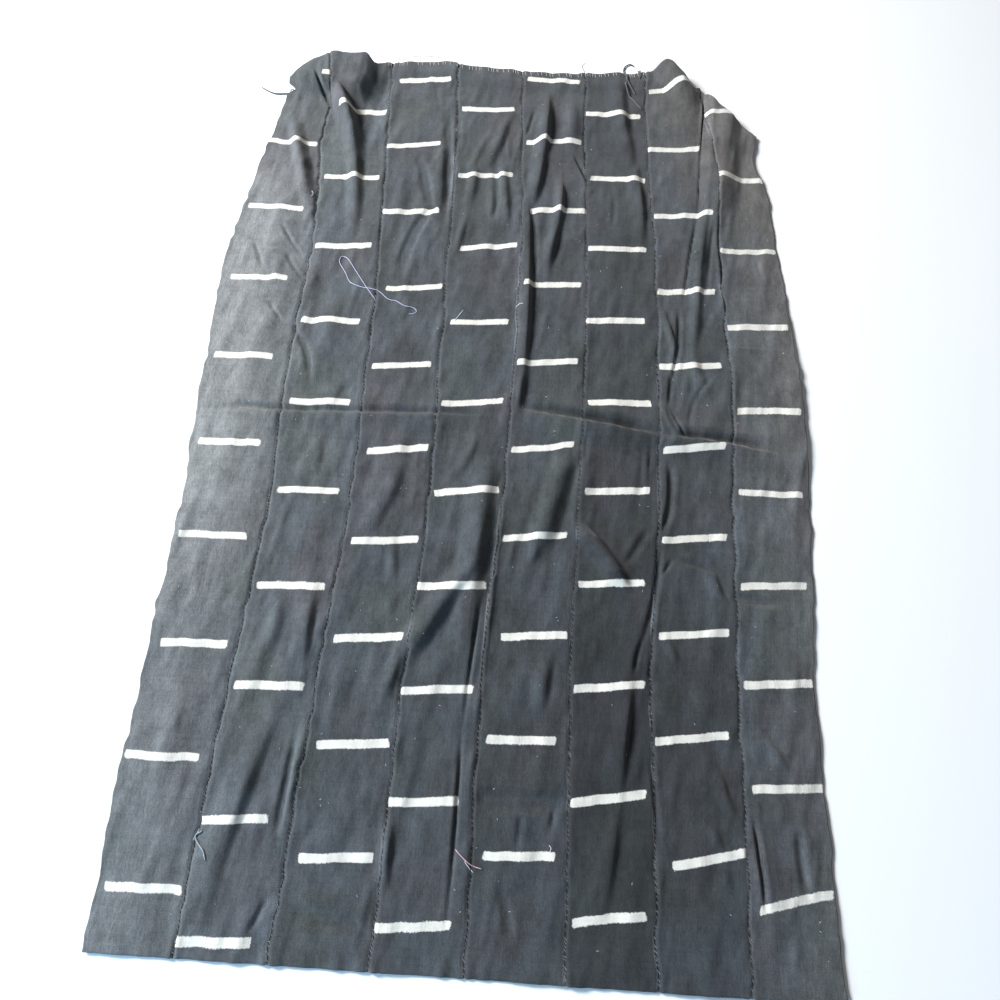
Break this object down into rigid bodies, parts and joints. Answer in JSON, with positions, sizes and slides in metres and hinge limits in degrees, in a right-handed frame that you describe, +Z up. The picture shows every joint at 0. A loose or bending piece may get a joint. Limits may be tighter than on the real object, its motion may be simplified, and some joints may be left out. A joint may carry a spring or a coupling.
{
  "type": "mud cloth",
  "caption": "Strip-woven mud cloth lying face up: hand-sewn charcoal strips with cream dashes, soft folds, a bunched corner and a turned-under corner.",
  "frame": {"origin": "middle of the cloth's outline on the ground it lies on", "axes": "+X across the strips to the right as seen from the foot, +Y along the strips towards the hemmed top edge, +Z up out of the patterned face"},
  "size_m": [1.036, 1.6068, 0.0316],
  "materials": {
    "charcoal_cotton": "matte"
  },
  "bodies": {
    "root": {"strip_a": "charcoal_cotton", "strip_b": "charcoal_cotton", "strip_c": "charcoal_cotton", "strip_d": "charcoal_cotton", "strip_e": "charcoal_cotton", "strip_f": "charcoal_cotton", "strip_g": "charcoal_cotton", "strip_h": "charcoal_cotton"}
  },
  "joints": []
}
